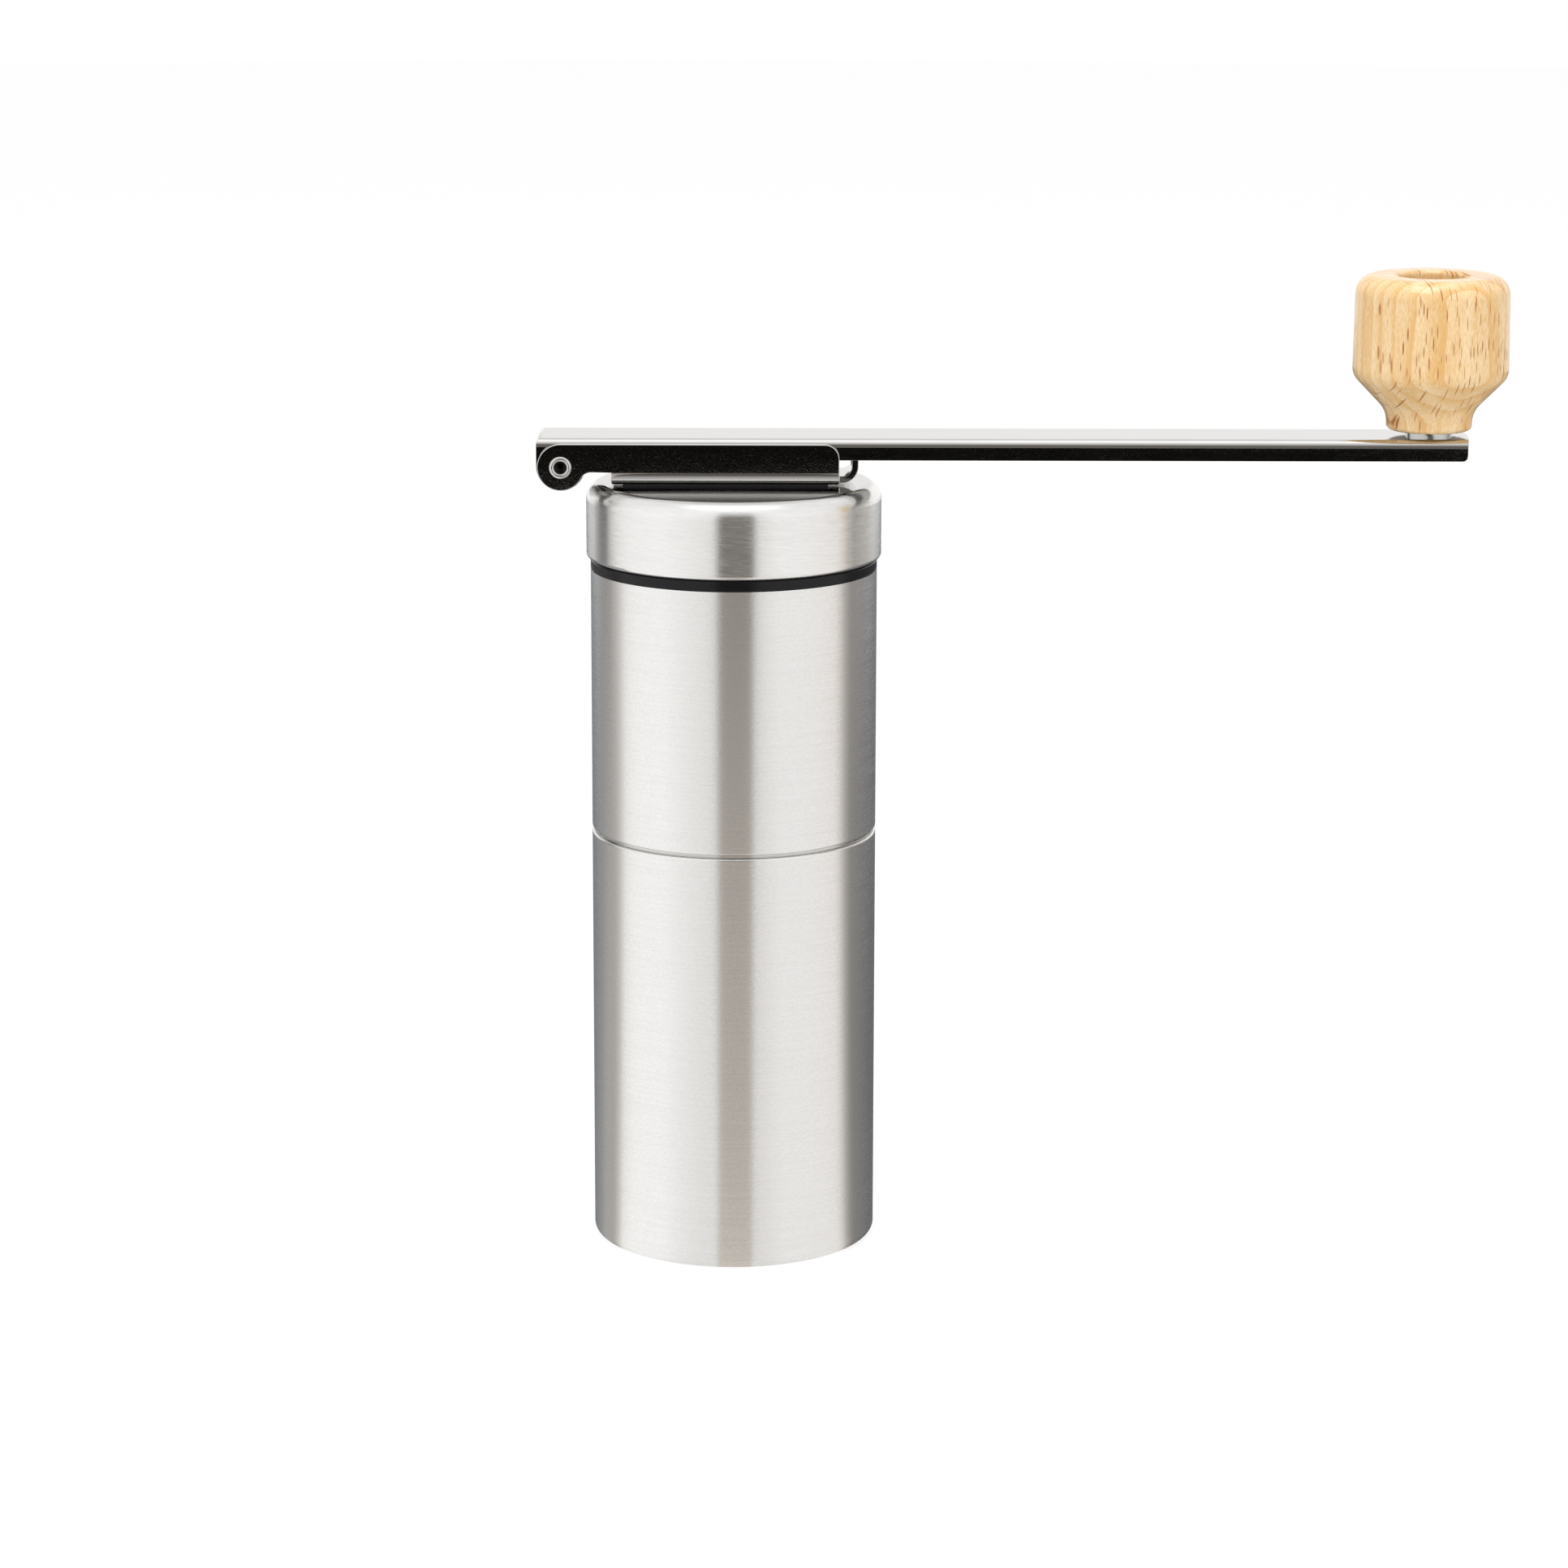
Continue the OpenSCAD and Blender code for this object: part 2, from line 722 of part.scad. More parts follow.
// Height of the spring's wire at share t of its length: closed coils at both ends
function coil_rise(t) =
    let (flat = 0.8 / spring_turns, low = spring_wire / 2, high = spring_h - spring_wire / 2,
         lead = spring_wire * 0.8)
    t < flat ? low + lead * t / flat :
    t > 1 - flat ? high - lead * (1 - t) / flat :
    low + lead + (high - low - 2 * lead) * (t - flat) / (1 - 2 * flat);

module burr_spring() {
    rings = spring_turns * 16;
    sides = 8;
    coil_r = spring_r - spring_wire / 2;
    wire_r = spring_wire / 2;
    points = [for (i = [0 : rings], k = [0 : sides - 1])
        let (turn = 360 * spring_turns * i / rings, a = 360 * k / sides,
             r = coil_r + wire_r * cos(a))
        [r * cos(turn), r * sin(turn), coil_rise(i / rings) + wire_r * sin(a)]];
    walls = [for (i = [0 : rings - 1], k = [0 : sides - 1])
        let (n = (k + 1) % sides, a = i * sides, b = a + sides)
        each [[a + k, a + n, b + n], [a + k, b + n, b + k]]];
    ends = [[for (k = [sides - 1 : -1 : 0]) k], [for (k = [0 : sides - 1]) rings * sides + k]];
    color(steel)
        translate([0, 0, driver_top + seat_gap])
            polyhedron(points, concat(walls, ends), 4);
}

// ---- Lid ----

module at_bracket_screws() {
    for (s = [-1, 1])
        translate([s * bracket_screw_x, 0, 0])
            children();
}

module lid_cap() {
    foot_z = flange_top + turn_gap;
    color(steel)
        difference() {
            rotate_extrude()
                difference() {
                    translate([0, foot_z])
                        plate(lid_r, lid_top - foot_z, 0, lid_roll_r, lid_edge_r, 0);
                    translate([0, foot_z - 1])
                        plate(lid_bore_r, lid_top - shell_t - foot_z + 1, 0, 0, core_edge_r, 0);
                }
            at_bracket_screws() rod(bracket_screw_r + push_fit, lid_top - 2, lid_top + 1);
        }
}

module lid_core() {
    ribs = 6;
    color(black)
        difference() {
            union() {
                rotate_extrude()
                    difference() {
                        translate([0, flange_top + seat_gap])
                            plate(core_r, core_top - flange_top - seat_gap, 0, 0.2, core_edge_r, 0);
                        translate([0, flange_top - 1])
                            plate(skirt_bore_r, core_plate_z - flange_top + 1, 0, 0, 0.6, 0);
                    }
                rod(shaft_r + socket_wall, socket_z, core_plate_z + 0.1);
                for (i = [0 : ribs - 1])
                    rotate([0, 0, 360 * (i + 0.5) / ribs])
                        translate([shaft_r + 1, -core_rib_t / 2, rib_z])
                            cube([skirt_bore_r - shaft_r - 0.5, core_rib_t, core_plate_z - rib_z + 0.1]);
                at_bracket_screws() rod(bracket_screw_r + 1.6, rib_z, core_plate_z + 0.1);
            }
            hexagon(socket_r, socket_z - 1, core_plate_z);
            at_bracket_screws() rod(bracket_screw_r + push_fit, rib_z + 1, lid_top);
        }
}

module bracket_spacer() {
    inset_x = 2;
    inset_y = 2.5;
    color(black)
        difference() {
            translate([inset_x - floor_end_x, inset_y - bracket_w / 2, lid_top])
                cube([floor_end_x + bracket_front_x - 2 * inset_x, bracket_w - 2 * inset_y,
                      spacer_t]);
            at_bracket_screws() rod(bracket_screw_r + push_fit, lid_top - 1, bracket_z + 1);
        }
}

// The concave corner between the ears' or lobes' round of radius r and a level edge at z
module neck_fillet(r, z, fillet_r) {
    c = [-pin_x + sqrt(pow(r + fillet_r, 2) - pow(pin_z - z + fillet_r, 2)), z - fillet_r];
    top_z = max(pin_z, z) + 0.1;
    tangent = atan2(pin_z - c.y, -pin_x - c.x);
    polygon(concat([[-pin_x, pin_z], [-pin_x, top_z], [c.x, top_z]],
                   arc(c, fillet_r, 90, tangent, 8)));
}

module crank_bracket() {
    half = bracket_w / 2;
    wall_h = wall_top - bracket_z;
    front_x = bracket_front_x;
    tab_top = web_z - seat_gap;
    color(bright)
        difference() {
            union() {
                // Floor and walls, one bent sheet
                intersection() {
                    along(-floor_end_x, front_x)
                        translate([-half, bracket_z])
                            difference() {
                                plate(bracket_w, wall_h, bracket_bend_r, bracket_bend_r, 0, 0);
                                translate([sheet_t, sheet_t])
                                    plate(bracket_w - 2 * sheet_t, wall_h,
                                          bracket_bend_r - sheet_t, bracket_bend_r - sheet_t, 0, 0);
                            }
                    across(bracket_w + 2)
                        translate([-floor_end_x, bracket_z])
                            plate(floor_end_x + front_x, wall_h, 0, 0, bracket_corner_r, 0);
                }
                // Ears around the hinge pin
                for (s = [-1, 1])
                    translate([0, s * (half - sheet_t / 2), 0])
                        across(sheet_t) {
                            translate([-pin_x, pin_z]) circle(ear_r);
                            translate([-pin_x, neck_z])
                                square([pin_x - floor_end_x + 1, wall_top - neck_z]);
                            neck_fillet(ear_r, neck_z, 2);
                        }
                // Tab that carries the arm
                across(tab_w) {
                    translate([front_x - 1, bracket_z])
                        square([tab_x - tab_bend_r - front_x + 1, sheet_t]);
                    translate([tab_x - tab_bend_r, bracket_z + tab_bend_r])
                        intersection() {
                            difference() {
                                circle(tab_bend_r);
                                circle(tab_bend_r - sheet_t);
                            }
                            translate([0, -tab_bend_r]) square(tab_bend_r);
                        }
                    translate([tab_x - sheet_t, bracket_z + tab_bend_r])
                        square([sheet_t, tab_top - bracket_z - tab_bend_r]);
                }
            }
            pin_bore(pin_r + 0.02);
            at_bracket_screws() rod(bracket_screw_r + push_fit, lid_top, bracket_z + 2);
        }
}

module pin_bore(r) {
    translate([-pin_x, 0, pin_z])
        rotate([90, 0, 0])
            cylinder(r = r, h = bracket_w + 4, center = true);
}

module bracket_screws() {
    head_z = bracket_z + sheet_t;
    color(bright)
        at_bracket_screws()
            difference() {
                union() {
                    rod(bracket_screw_r, rib_z + 2, head_z + 0.1);
                    rotate_extrude()
                        translate([0, head_z]) plate(bracket_head_r, bracket_head_h, 0, 0, 0.6, 0);
                }
                hexagon(1.1, head_z + 0.5, head_z + 3);
            }
}

module hinge_pin() {
    head_r = pin_head_d / 2;
    dimple_r = pin_dimple_d / 2;
    roll_r = (head_r - dimple_r) / 2;
    dimple_h = 1;
    dimple_foot_r = 0.35;
    half = bracket_w / 2;
    color(bright)
        translate([-pin_x, 0, pin_z])
            rotate([90, 0, 0])
                rotate_extrude()
                    for (s = [0, 1])
                        mirror([0, s])
                            union() {
                                difference() {
                                    square([pin_r, half]);
                                    polygon([[-1, half - dimple_h],
                                             [dimple_foot_r, half - dimple_h],
                                             [dimple_r, half],
                                             [dimple_r, half + 1],
                                             [-1, half + 1]]);
                                }
                                // Each head is rolled over round its dimple
                                intersection() {
                                    translate([head_r - roll_r, half]) circle(roll_r);
                                    translate([0, half]) square(head_r + 1);
                                }
                            }
}

// ---- Crank arm and knob ----

module crank_arm() {
    lobe_fillet_r = 3;
    low_z = pin_z - arm_lobe_r - 1;
    inner_bend_r = max(arm_bend_r - sheet_t, 0.1);
    end_x = arm_far_x - arm_end_r;
    wall_end_x = end_x + sqrt(pow(arm_end_r, 2) - pow(arm_w / 2, 2));
    color(bright)
        difference() {
            intersection() {
                // The folded channel, open at both ends
                along(arm_near_x - 1, arm_far_x + 1)
                    difference() {
                        translate([-arm_w / 2, low_z])
                            plate(arm_w, arm_top - low_z, 0, 0, arm_bend_r, arm_bend_r);
                        translate([sheet_t - arm_w / 2, low_z - 1])
                            plate(arm_w - 2 * sheet_t, web_z - low_z + 1, 0, 0, inner_bend_r, inner_bend_r);
                    }
                // Its outline from above, with a slightly convex end
                translate([0, 0, low_z - 1])
                    linear_extrude(arm_top - low_z + 2)
                        union() {
                            translate([arm_near_x, -arm_w]) square([end_x - arm_near_x, 2 * arm_w]);
                            translate([end_x, 0]) circle(arm_end_r);
                        }
                // Side outline: a straight channel with a lobe around the pin
                union() {
                    across(arm_w + 2)
                        difference() {
                            translate([arm_near_x, arm_foot_z])
                                plate(arm_far_x - arm_near_x, arm_depth, 0, 0, 0, 1);
                            corner_cut([wall_end_x, arm_foot_z], [-1, 1], arm_corner_r);
                        }
                    across(arm_w + 2)
                        translate([arm_near_x, pin_z])
                            plate(arm_lobe_r, arm_top_h, 0, 0, 0, 1);
                    across(arm_w + 2)
                        translate([-pin_x, pin_z])
                            circle(arm_lobe_r);
                    across(arm_w + 2)
                        neck_fillet(arm_lobe_r, arm_foot_z, lobe_fillet_r);
                }
            }
            pin_bore(pin_r + run_fit);
            translate([crank_r, 0, 0]) rod(axle_neck_r + 0.02, web_z - 1, arm_top + 1);
        }
}

// A shouldered rivet: foot under the web, neck through it, and the shoulder that the knob turns on
module knob_axle() {
    foot_t = 1;
    color(bright)
        translate([crank_r, 0, 0])
            difference() {
                union() {
                    rod(axle_r + 1, web_z - foot_t, web_z);
                    rod(axle_neck_r, web_z - 0.1, arm_top + 0.1);
                    rod(axle_r, arm_top, axle_top);
                }
                rod(knob_screw_r + 0.05, axle_top - knob_screw_l - 1, axle_top + 1);
            }
}

module knob_washer() {
    color(bright)
        translate([crank_r, 0, 0])
            tube(knob_washer_d / 2, axle_r + run_fit, arm_top, arm_top + knob_washer_t);
}

module knob_top_washer() {
    color(bright)
        translate([crank_r, 0, 0])
            tube(knob_cbore_r - 0.8, knob_screw_r + 0.1, axle_top, axle_top + top_washer_t);
}

module knob_screw() {
    head_z = axle_top + top_washer_t;
    head_r = 3.1;
    head_h = 2.2;
    color(bright)
        translate([crank_r, 0, 0])
            difference() {
                union() {
                    rod(knob_screw_r, axle_top - knob_screw_l, head_z + 0.1);
                    rotate_extrude()
                        translate([0, head_z]) plate(head_r, head_h, 0, 0, 0.9, 0);
                }
                hexagon(1.4, head_z + 0.8, head_z + head_h + 1);
            }
}

module knob() {
    base_r = 0.9;
    cove_r = 4.9;
    belly_r = 3.4;
    flare = 44;
    neck_top = knob_z + base_r + 0.4;
    neck_r = knob_neck_r;
    top_r = knob_top_d / 2;
    cove_c = [neck_r + cove_r, neck_top];
    cone_foot = cove_c - cove_r * [cos(flare), -sin(flare)];
    belly_start = knob_r - belly_r * (1 - cos(flare));
    belly_z = cone_foot.y + (belly_start - cone_foot.x) / tan(flare) + belly_r * sin(flare);
    edge_c = [top_r - knob_edge_r, knob_top - knob_edge_r];
    color(beech)
        translate([crank_r, 0, 0])
            difference() {
                rotate_extrude()
                    polygon(concat(
                        [[0, knob_z]],
                        arc([neck_r - base_r, knob_z + base_r], base_r, -90, 0, 6),
                        arc(cove_c, cove_r, 180, 180 - flare, 8),
                        arc([knob_r - belly_r, belly_z], belly_r, -flare, 0, 8),
                        arc(edge_c, knob_edge_r, 0, 86, 12),
                        [[knob_cbore_r + 0.8, knob_top]],
                        arc([knob_cbore_r + 0.8, knob_top - 0.8], 0.8, 90, 180, 5),
                        [[knob_cbore_r, cbore_z], [0, cbore_z]]));
                rod(axle_r + run_fit, knob_z - 1, cbore_z + 1);
            }
}

container_shell();
hopper_shell();
neck_sleeve();
hopper_collar();
top_bush();
burr_carrier();
lower_bush();
ring_burr();
burr_retainer();
retainer_screws();
drive_shaft();
shaft_clip();
clip_washer();
burr_spring();
spring_washer();
cone_burr();
burr_driver();
adjusting_nut();
lid_cap();
lid_core();
bracket_spacer();
crank_bracket();
bracket_screws();
hinge_pin();
crank_arm();
knob_axle();
knob_washer();
knob_top_washer();
knob_screw();
knob();
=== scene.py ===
import json
import math

import bpy
from mathutils import Matrix, Vector

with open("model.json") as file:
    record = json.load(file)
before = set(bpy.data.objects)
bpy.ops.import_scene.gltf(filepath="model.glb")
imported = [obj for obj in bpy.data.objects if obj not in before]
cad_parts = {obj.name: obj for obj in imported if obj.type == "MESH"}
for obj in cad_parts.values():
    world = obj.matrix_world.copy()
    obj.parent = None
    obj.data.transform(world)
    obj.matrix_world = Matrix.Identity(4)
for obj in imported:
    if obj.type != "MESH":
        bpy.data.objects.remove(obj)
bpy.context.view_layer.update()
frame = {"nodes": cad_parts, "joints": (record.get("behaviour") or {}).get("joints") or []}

nodes = frame["nodes"]
mm = 0.001
# where the hinges stand at rest
anchors = {joint["name"]: Vector(joint["pos_m"]) for joint in frame["joints"] if "pos_m" in joint}
print("frame loaded:", len(nodes), "nodes")


# camera

cameraView = {
    "place": Vector((9.2, -857.9, 278.5)) * mm,
    "pitchDown": 12.72,      # degrees
    "roll": 0.121,           # degrees, the view leans a hair to the right
    "lens": 109.94,          # millimetres, and so is the sensor
    "sensor": 36.0,
    "clip": (0.01, 50),      # metres
}


def makeCamera(view):
    data = bpy.data.cameras.new("camera")
    data.lens = view["lens"]
    data.sensor_width = view["sensor"]
    data.clip_start, data.clip_end = view["clip"]
    camera = bpy.data.objects.new("camera", data)
    bpy.context.scene.collection.objects.link(camera)
    pitch = math.radians(view["pitchDown"])
    roll = math.radians(view["roll"])
    side = Vector((1, 0, 0))
    ahead = Vector((0, math.cos(pitch), -math.sin(pitch)))
    above = Vector((0, math.sin(pitch), math.cos(pitch)))
    right = side * math.cos(roll) + above * math.sin(roll)
    up = above * math.cos(roll) - side * math.sin(roll)
    turn = Matrix((right, up, -ahead)).transposed().to_4x4()
    camera.matrix_world = Matrix.Translation(view["place"]) @ turn
    bpy.context.scene.camera = camera


makeCamera(cameraView)
bpy.context.scene.view_settings.view_transform = "Standard"
print("camera made")


# what all node trees are made with

perRadian = math.degrees(1)
noiseSpan = (0.3, 0.7)           # most of a noise lies between these
grainDepth = 0.1 * mm            # how deep a bump of full strength goes


def setInputs(tree, node, inputs):       # each value is a socket to link or a constant
    for name, value in inputs.items():
        socket = node.inputs[name]
        if isinstance(value, bpy.types.NodeSocket):
            tree.links.new(value, socket)
        elif socket.type == "RGBA" and len(value) == 3:
            socket.default_value = (*value, 1)
        else:
            socket.default_value = value


def addNode(tree, kind, inputs=None, **settings):
    node = tree.nodes.new(kind)
    for name, value in settings.items():
        setattr(node, name, value)
    setInputs(tree, node, inputs or {})
    return node


def calc(tree, operation, *values):      # one Math node
    return addNode(tree, "ShaderNodeMath", dict(enumerate(values)), operation=operation).outputs[0]


def vectorCalc(tree, operation, *values):        # one Vector Math node
    node = addNode(tree, "ShaderNodeVectorMath", dict(enumerate(values)), operation=operation)
    return node.outputs["Value" if operation in ("LENGTH", "DOT_PRODUCT") else "Vector"]


def split(tree, vector):                 # its x, y and z
    return addNode(tree, "ShaderNodeSeparateXYZ", {0: vector}).outputs


def join(tree, x, y, z):
    return addNode(tree, "ShaderNodeCombineXYZ", {0: x, 1: y, 2: z}).outputs[0]


def remap(tree, value, fromLow, fromHigh, toLow, toHigh, smooth=False):
    return addNode(tree, "ShaderNodeMapRange",
                   {"Value": value, "From Min": fromLow, "From Max": fromHigh,
                    "To Min": toLow, "To Max": toHigh},
                   interpolation_type="SMOOTHSTEP" if smooth else "LINEAR").outputs["Result"]


def spread(tree, value, low, high):      # a noise laid out from low to high
    return remap(tree, value, *noiseSpan, low, high)


def blend(tree, share, first, second):   # this share of the first, the rest of the second
    return calc(tree, "MULTIPLY_ADD", first, share, calc(tree, "MULTIPLY", second, 1 - share))


def ramp(tree, value, stops):            # stops are (position, colour)
    node = addNode(tree, "ShaderNodeValToRGB", {"Fac": value})
    band = node.color_ramp
    while len(band.elements) < len(stops):
        band.elements.new(1.0)
    for element, (position, color) in zip(band.elements, stops):
        element.position = position
        element.color = (*color, 1)
    return node.outputs["Color"]


def mixColor(tree, share, first, second, way="MIX"):
    return addNode(tree, "ShaderNodeMix", {0: share, 6: first, 7: second},
                   data_type="RGBA", blend_type=way).outputs[2]


def mixShader(tree, share, first, second):
    return addNode(tree, "ShaderNodeMixShader", {0: share, 1: first, 2: second}).outputs[0]


def shining(tree, kind, color, strength):        # a Background or an Emission
    return addNode(tree, kind, {"Color": color, "Strength": strength}).outputs[0]


def newMaterial(name):
    material = bpy.data.materials.new(name)
    material.use_nodes = True
    material.node_tree.nodes.clear()
    return material, material.node_tree


# studio: world, floor and lamps

white = (1, 1, 1)
studio = {
    "floorRadius": 3.0,
    "floorSides": 96,
    "floorColor": (0.92, 0.92, 0.91),
    "floorGlow": 1.16,           # how white the floor looks where nothing shades it
    "floorGlowShare": 0.68,
    "skyForLight": 0.66,         # the world as a lamp
    "skyForSight": 1.0,          # the world as it is seen straight
}

# What metal and varnish see of the room, as a wall of the body mirrors it. Angles go round the object
# in degrees, 0 is the front and 90 the right. Each entry is (angle, grey, warmth).
# Where near, far and gap come from: scratch scripts read the photograph's brightness and tint on the
# steel at such angles and heights. The first greys were those readings, divided by the steel's colour
# and rounded, and the warmths were taken roughly from the tints. The greys were then changed after
# comparing renders with the photograph. The warmths of near and far are still the first ones.
roomLook = {
    "bodyRadius": 0.026,         # the floor is laid out for a wall this far from the middle
    "near": [(-180, 0.17, -0.05), (-158, 0.185, -0.05), (-146, 0.23, -0.03), (-134, 0.30, 0.0),
             (-124, 0.42, 0.03), (-110, 0.42, 0.05), (-104, 0.60, 0.04), (-98, 0.93, 0.02),
             (-88, 1.03, 0.01), (-78, 1.04, 0.005), (-58, 1.03, 0.005), (-40, 0.915, 0.012),
             (-24, 0.845, 0.015), (24, 0.82, 0.02), (40, 0.91, 0.012), (60, 0.915, 0.015),
             (78, 0.90, 0.02), (90, 0.88, 0.03), (96, 0.73, 0.06), (102, 0.41, 0.06),
             (110, 0.22, 0.04), (124, 0.18, 0.02), (138, 0.14, -0.02), (152, 0.12, -0.05),
             (180, 0.13, -0.05)],
    "far": [(-180, 1.00, 0.01), (-148, 1.02, 0.01), (-139, 0.88, 0.02), (-131, 0.38, 0.0),
            (-124, 0.12, -0.02), (-117, 0.13, -0.02), (-111, 0.66, 0.02), (-104, 0.93, 0.02),
            (-90, 0.96, 0.01), (-60, 1.02, 0.01), (-40, 0.97, 0.01), (-24, 0.90, 0.015),
            (24, 0.88, 0.02), (36, 0.99, 0.01), (60, 0.97, 0.01), (78, 0.90, 0.03),
            (90, 0.84, 0.05), (99, 0.62, 0.06), (107, 0.46, 0.06), (118, 0.58, 0.05),
            (128, 0.72, 0.04), (138, 0.98, 0.02), (150, 1.02, 0.01), (180, 1.00, 0.01)],
    "nearTurn": (0.05, 0.30, 0.945),     # the near bands turn by this share at 0.05 m and fully from 0.30 m
    "farFrom": (1.05, 1.4),      # metres from the middle where near gives way to far
    "farUpTo": (14.0, 42.0),     # degrees above the horizon where far gives way to the sky
    "gap": [(0.0, 0.65), (0.05, 0.60), (0.12, 0.49), (0.30, 0.56), (0.42, 0.38), (0.60, 0.27),
            (0.74, 0.22), (0.82, 0.005), (1.22, 0.005), (1.40, 0.17), (1.6, 0.17)],   # (metres, grey)
    "gapWarmth": 0.09,
    "gapMiddle": 1.8,            # degrees
    "gapHalf": (11.0, 17.0),     # where the gap starts to fade and where it has gone
    "gapWidening": 1.5,          # how much wider its black part is
    "gapWideFrom": (0.78, 0.84),         # metres where the widening comes
    "gapWideTo": (1.15, 1.3),            # and where it goes
    "gapUpTo": (24.0, 60.0),     # degrees above the horizon
    "farMiddle": 2.4,            # above the horizon the gap stands a little aside
    "farHalf": (10.5, 19.0),
    "sky": 0.92,
    "overhead": (62.0, 78.0, 0.55),      # from and to these degrees up the sky gains this much light
    "softboxes": [(-95, -22, 14, 60, 0.10), (26, 88, 14, 60, 0.06)],   # from, to, foot, top, added light
    "softboxEdge": 8.0,
}

aimPoint = (0.03, 0, 0.12)
lamps = {
    "keyLamp": {"place": (-0.8, -0.7, 0.8), "aim": aimPoint, "size": (0.7, 0.9), "watts": 6.1},
    "fillLamp": {"place": (0.95, -0.6, 0.6), "aim": aimPoint, "size": (0.7, 0.9), "watts": 4.2},
    "topLamp": {"place": (0.1, 0.35, 1.2), "aim": aimPoint, "size": (0.9, 0.6), "watts": 2.7},
    "glintLamp": {"place": (-0.002, -0.216, 0.93), "aim": (anchors["knob_spin"].x, 0, 0.17),
                  "size": (0.40, 0.52), "watts": 2.3, "glintOn": "knob"},      # only its varnish mirrors it
}


def seenRay(tree):                       # 1 for a ray that looks: camera, mirror or glass
    path = addNode(tree, "ShaderNodeLightPath").outputs
    looks = calc(tree, "MAXIMUM", path["Is Camera Ray"], path["Is Glossy Ray"])
    return calc(tree, "MAXIMUM", looks, path["Is Transmission Ray"])


def glossyRay(tree):
    return addNode(tree, "ShaderNodeLightPath").outputs["Is Glossy Ray"]


def frontAngle(tree, parts):             # degrees round the object
    turn = calc(tree, "ARCTAN2", parts[0], calc(tree, "MULTIPLY", parts[1], -1.0))
    return calc(tree, "MULTIPLY", turn, perRadian)


def wallAngle(tree, around, reach, radius, rounds=4):    # the wall sees a near spot at a wider angle
    narrow = calc(tree, "DIVIDE", radius, calc(tree, "MAXIMUM", reach, radius))
    angle = around
    for _ in range(rounds):              # each round comes closer to it
        half = calc(tree, "SINE", calc(tree, "MULTIPLY", angle, 0.5 / perRadian))
        lead = calc(tree, "ARCSINE", calc(tree, "MULTIPLY", half, narrow))
        angle = calc(tree, "MULTIPLY_ADD", lead, perRadian, around)
    return angle


def window(tree, value, low, high, edge):        # 1 between low and high, with soft edges
    rise = remap(tree, value, low - edge, low + edge, 0.0, 1.0, smooth=True)
    fall = remap(tree, value, high - edge, high + edge, 1.0, 0.0, smooth=True)
    return calc(tree, "MULTIPLY", rise, fall)


def tint(grey, warmth):                  # warm greys lean to red, cool ones to blue
    return (grey * (1 + warmth), grey, grey * (1 - warmth))


def roomBand(tree, angle, entries):
    return ramp(tree, remap(tree, angle, -180.0, 180.0, 0.0, 1.0),
                [((turn + 180) / 360, tint(grey, warmth)) for turn, grey, warmth in entries])


def gapShare(tree, angle, middle, half, widening=1.0):
    offMiddle = calc(tree, "ABSOLUTE", calc(tree, "SUBTRACT", angle, middle))
    return remap(tree, calc(tree, "DIVIDE", offMiddle, widening), *half, 1.0, 0.0, smooth=True)


def skyReflection(tree, room):           # what is above the horizon, as metal and varnish see it
    parts = split(tree, addNode(tree, "ShaderNodeTexCoord").outputs["Generated"])
    angle = frontAngle(tree, parts)
    rise = calc(tree, "MULTIPLY", calc(tree, "ARCSINE", parts[2]), perRadian)
    low = remap(tree, rise, *room["farUpTo"], 1.0, 0.0, smooth=True)
    walls = mixColor(tree, low, tint(room["sky"], 0), roomBand(tree, angle, room["far"]))
    gap = calc(tree, "MULTIPLY", gapShare(tree, angle, room["farMiddle"], room["farHalf"]),
               remap(tree, rise, *room["gapUpTo"], 1.0, 0.0, smooth=True))
    walls = mixColor(tree, gap, walls, tint(room["gap"][-1][1], room["gapWarmth"]))
    start, end, extra = room["overhead"]
    boxes = remap(tree, rise, start, end, 0.0, extra, smooth=True)
    for start, end, foot, top, extra in room["softboxes"]:
        box = calc(tree, "MULTIPLY", window(tree, angle, start, end, room["softboxEdge"]),
                   window(tree, rise, foot, top, room["softboxEdge"]))
        boxes = calc(tree, "MULTIPLY_ADD", box, extra, boxes)
    return vectorCalc(tree, "ADD", walls, boxes)


def floorReflection(tree, room):         # the floor as the body's wall mirrors it
    place = addNode(tree, "ShaderNodeNewGeometry").outputs["Position"]
    reach = vectorCalc(tree, "LENGTH", place)
    angle = wallAngle(tree, frontAngle(tree, split(tree, place)), reach, room["bodyRadius"])
    start, end, share = room["nearTurn"]
    turned = calc(tree, "MULTIPLY", angle, remap(tree, reach, start, end, share, 1.0))
    away = remap(tree, reach, *room["farFrom"], 0.0, 1.0, smooth=True)
    sides = mixColor(tree, away, roomBand(tree, turned, room["near"]),
                     roomBand(tree, angle, room["far"]))
    farthest = room["gap"][-1][0]
    gap = ramp(tree, remap(tree, reach, 0.0, farthest, 0.0, 1.0),
               [(far / farthest, tint(grey, room["gapWarmth"])) for far, grey in room["gap"]])
    black = calc(tree, "MULTIPLY", remap(tree, reach, *room["gapWideFrom"], 0.0, 1.0, smooth=True),
                 remap(tree, reach, *room["gapWideTo"], 1.0, 0.0, smooth=True))
    widening = remap(tree, black, 0.0, 1.0, 1.0, room["gapWidening"])
    share = gapShare(tree, angle, room["gapMiddle"], room["gapHalf"], widening)
    return mixColor(tree, share, sides, gap)


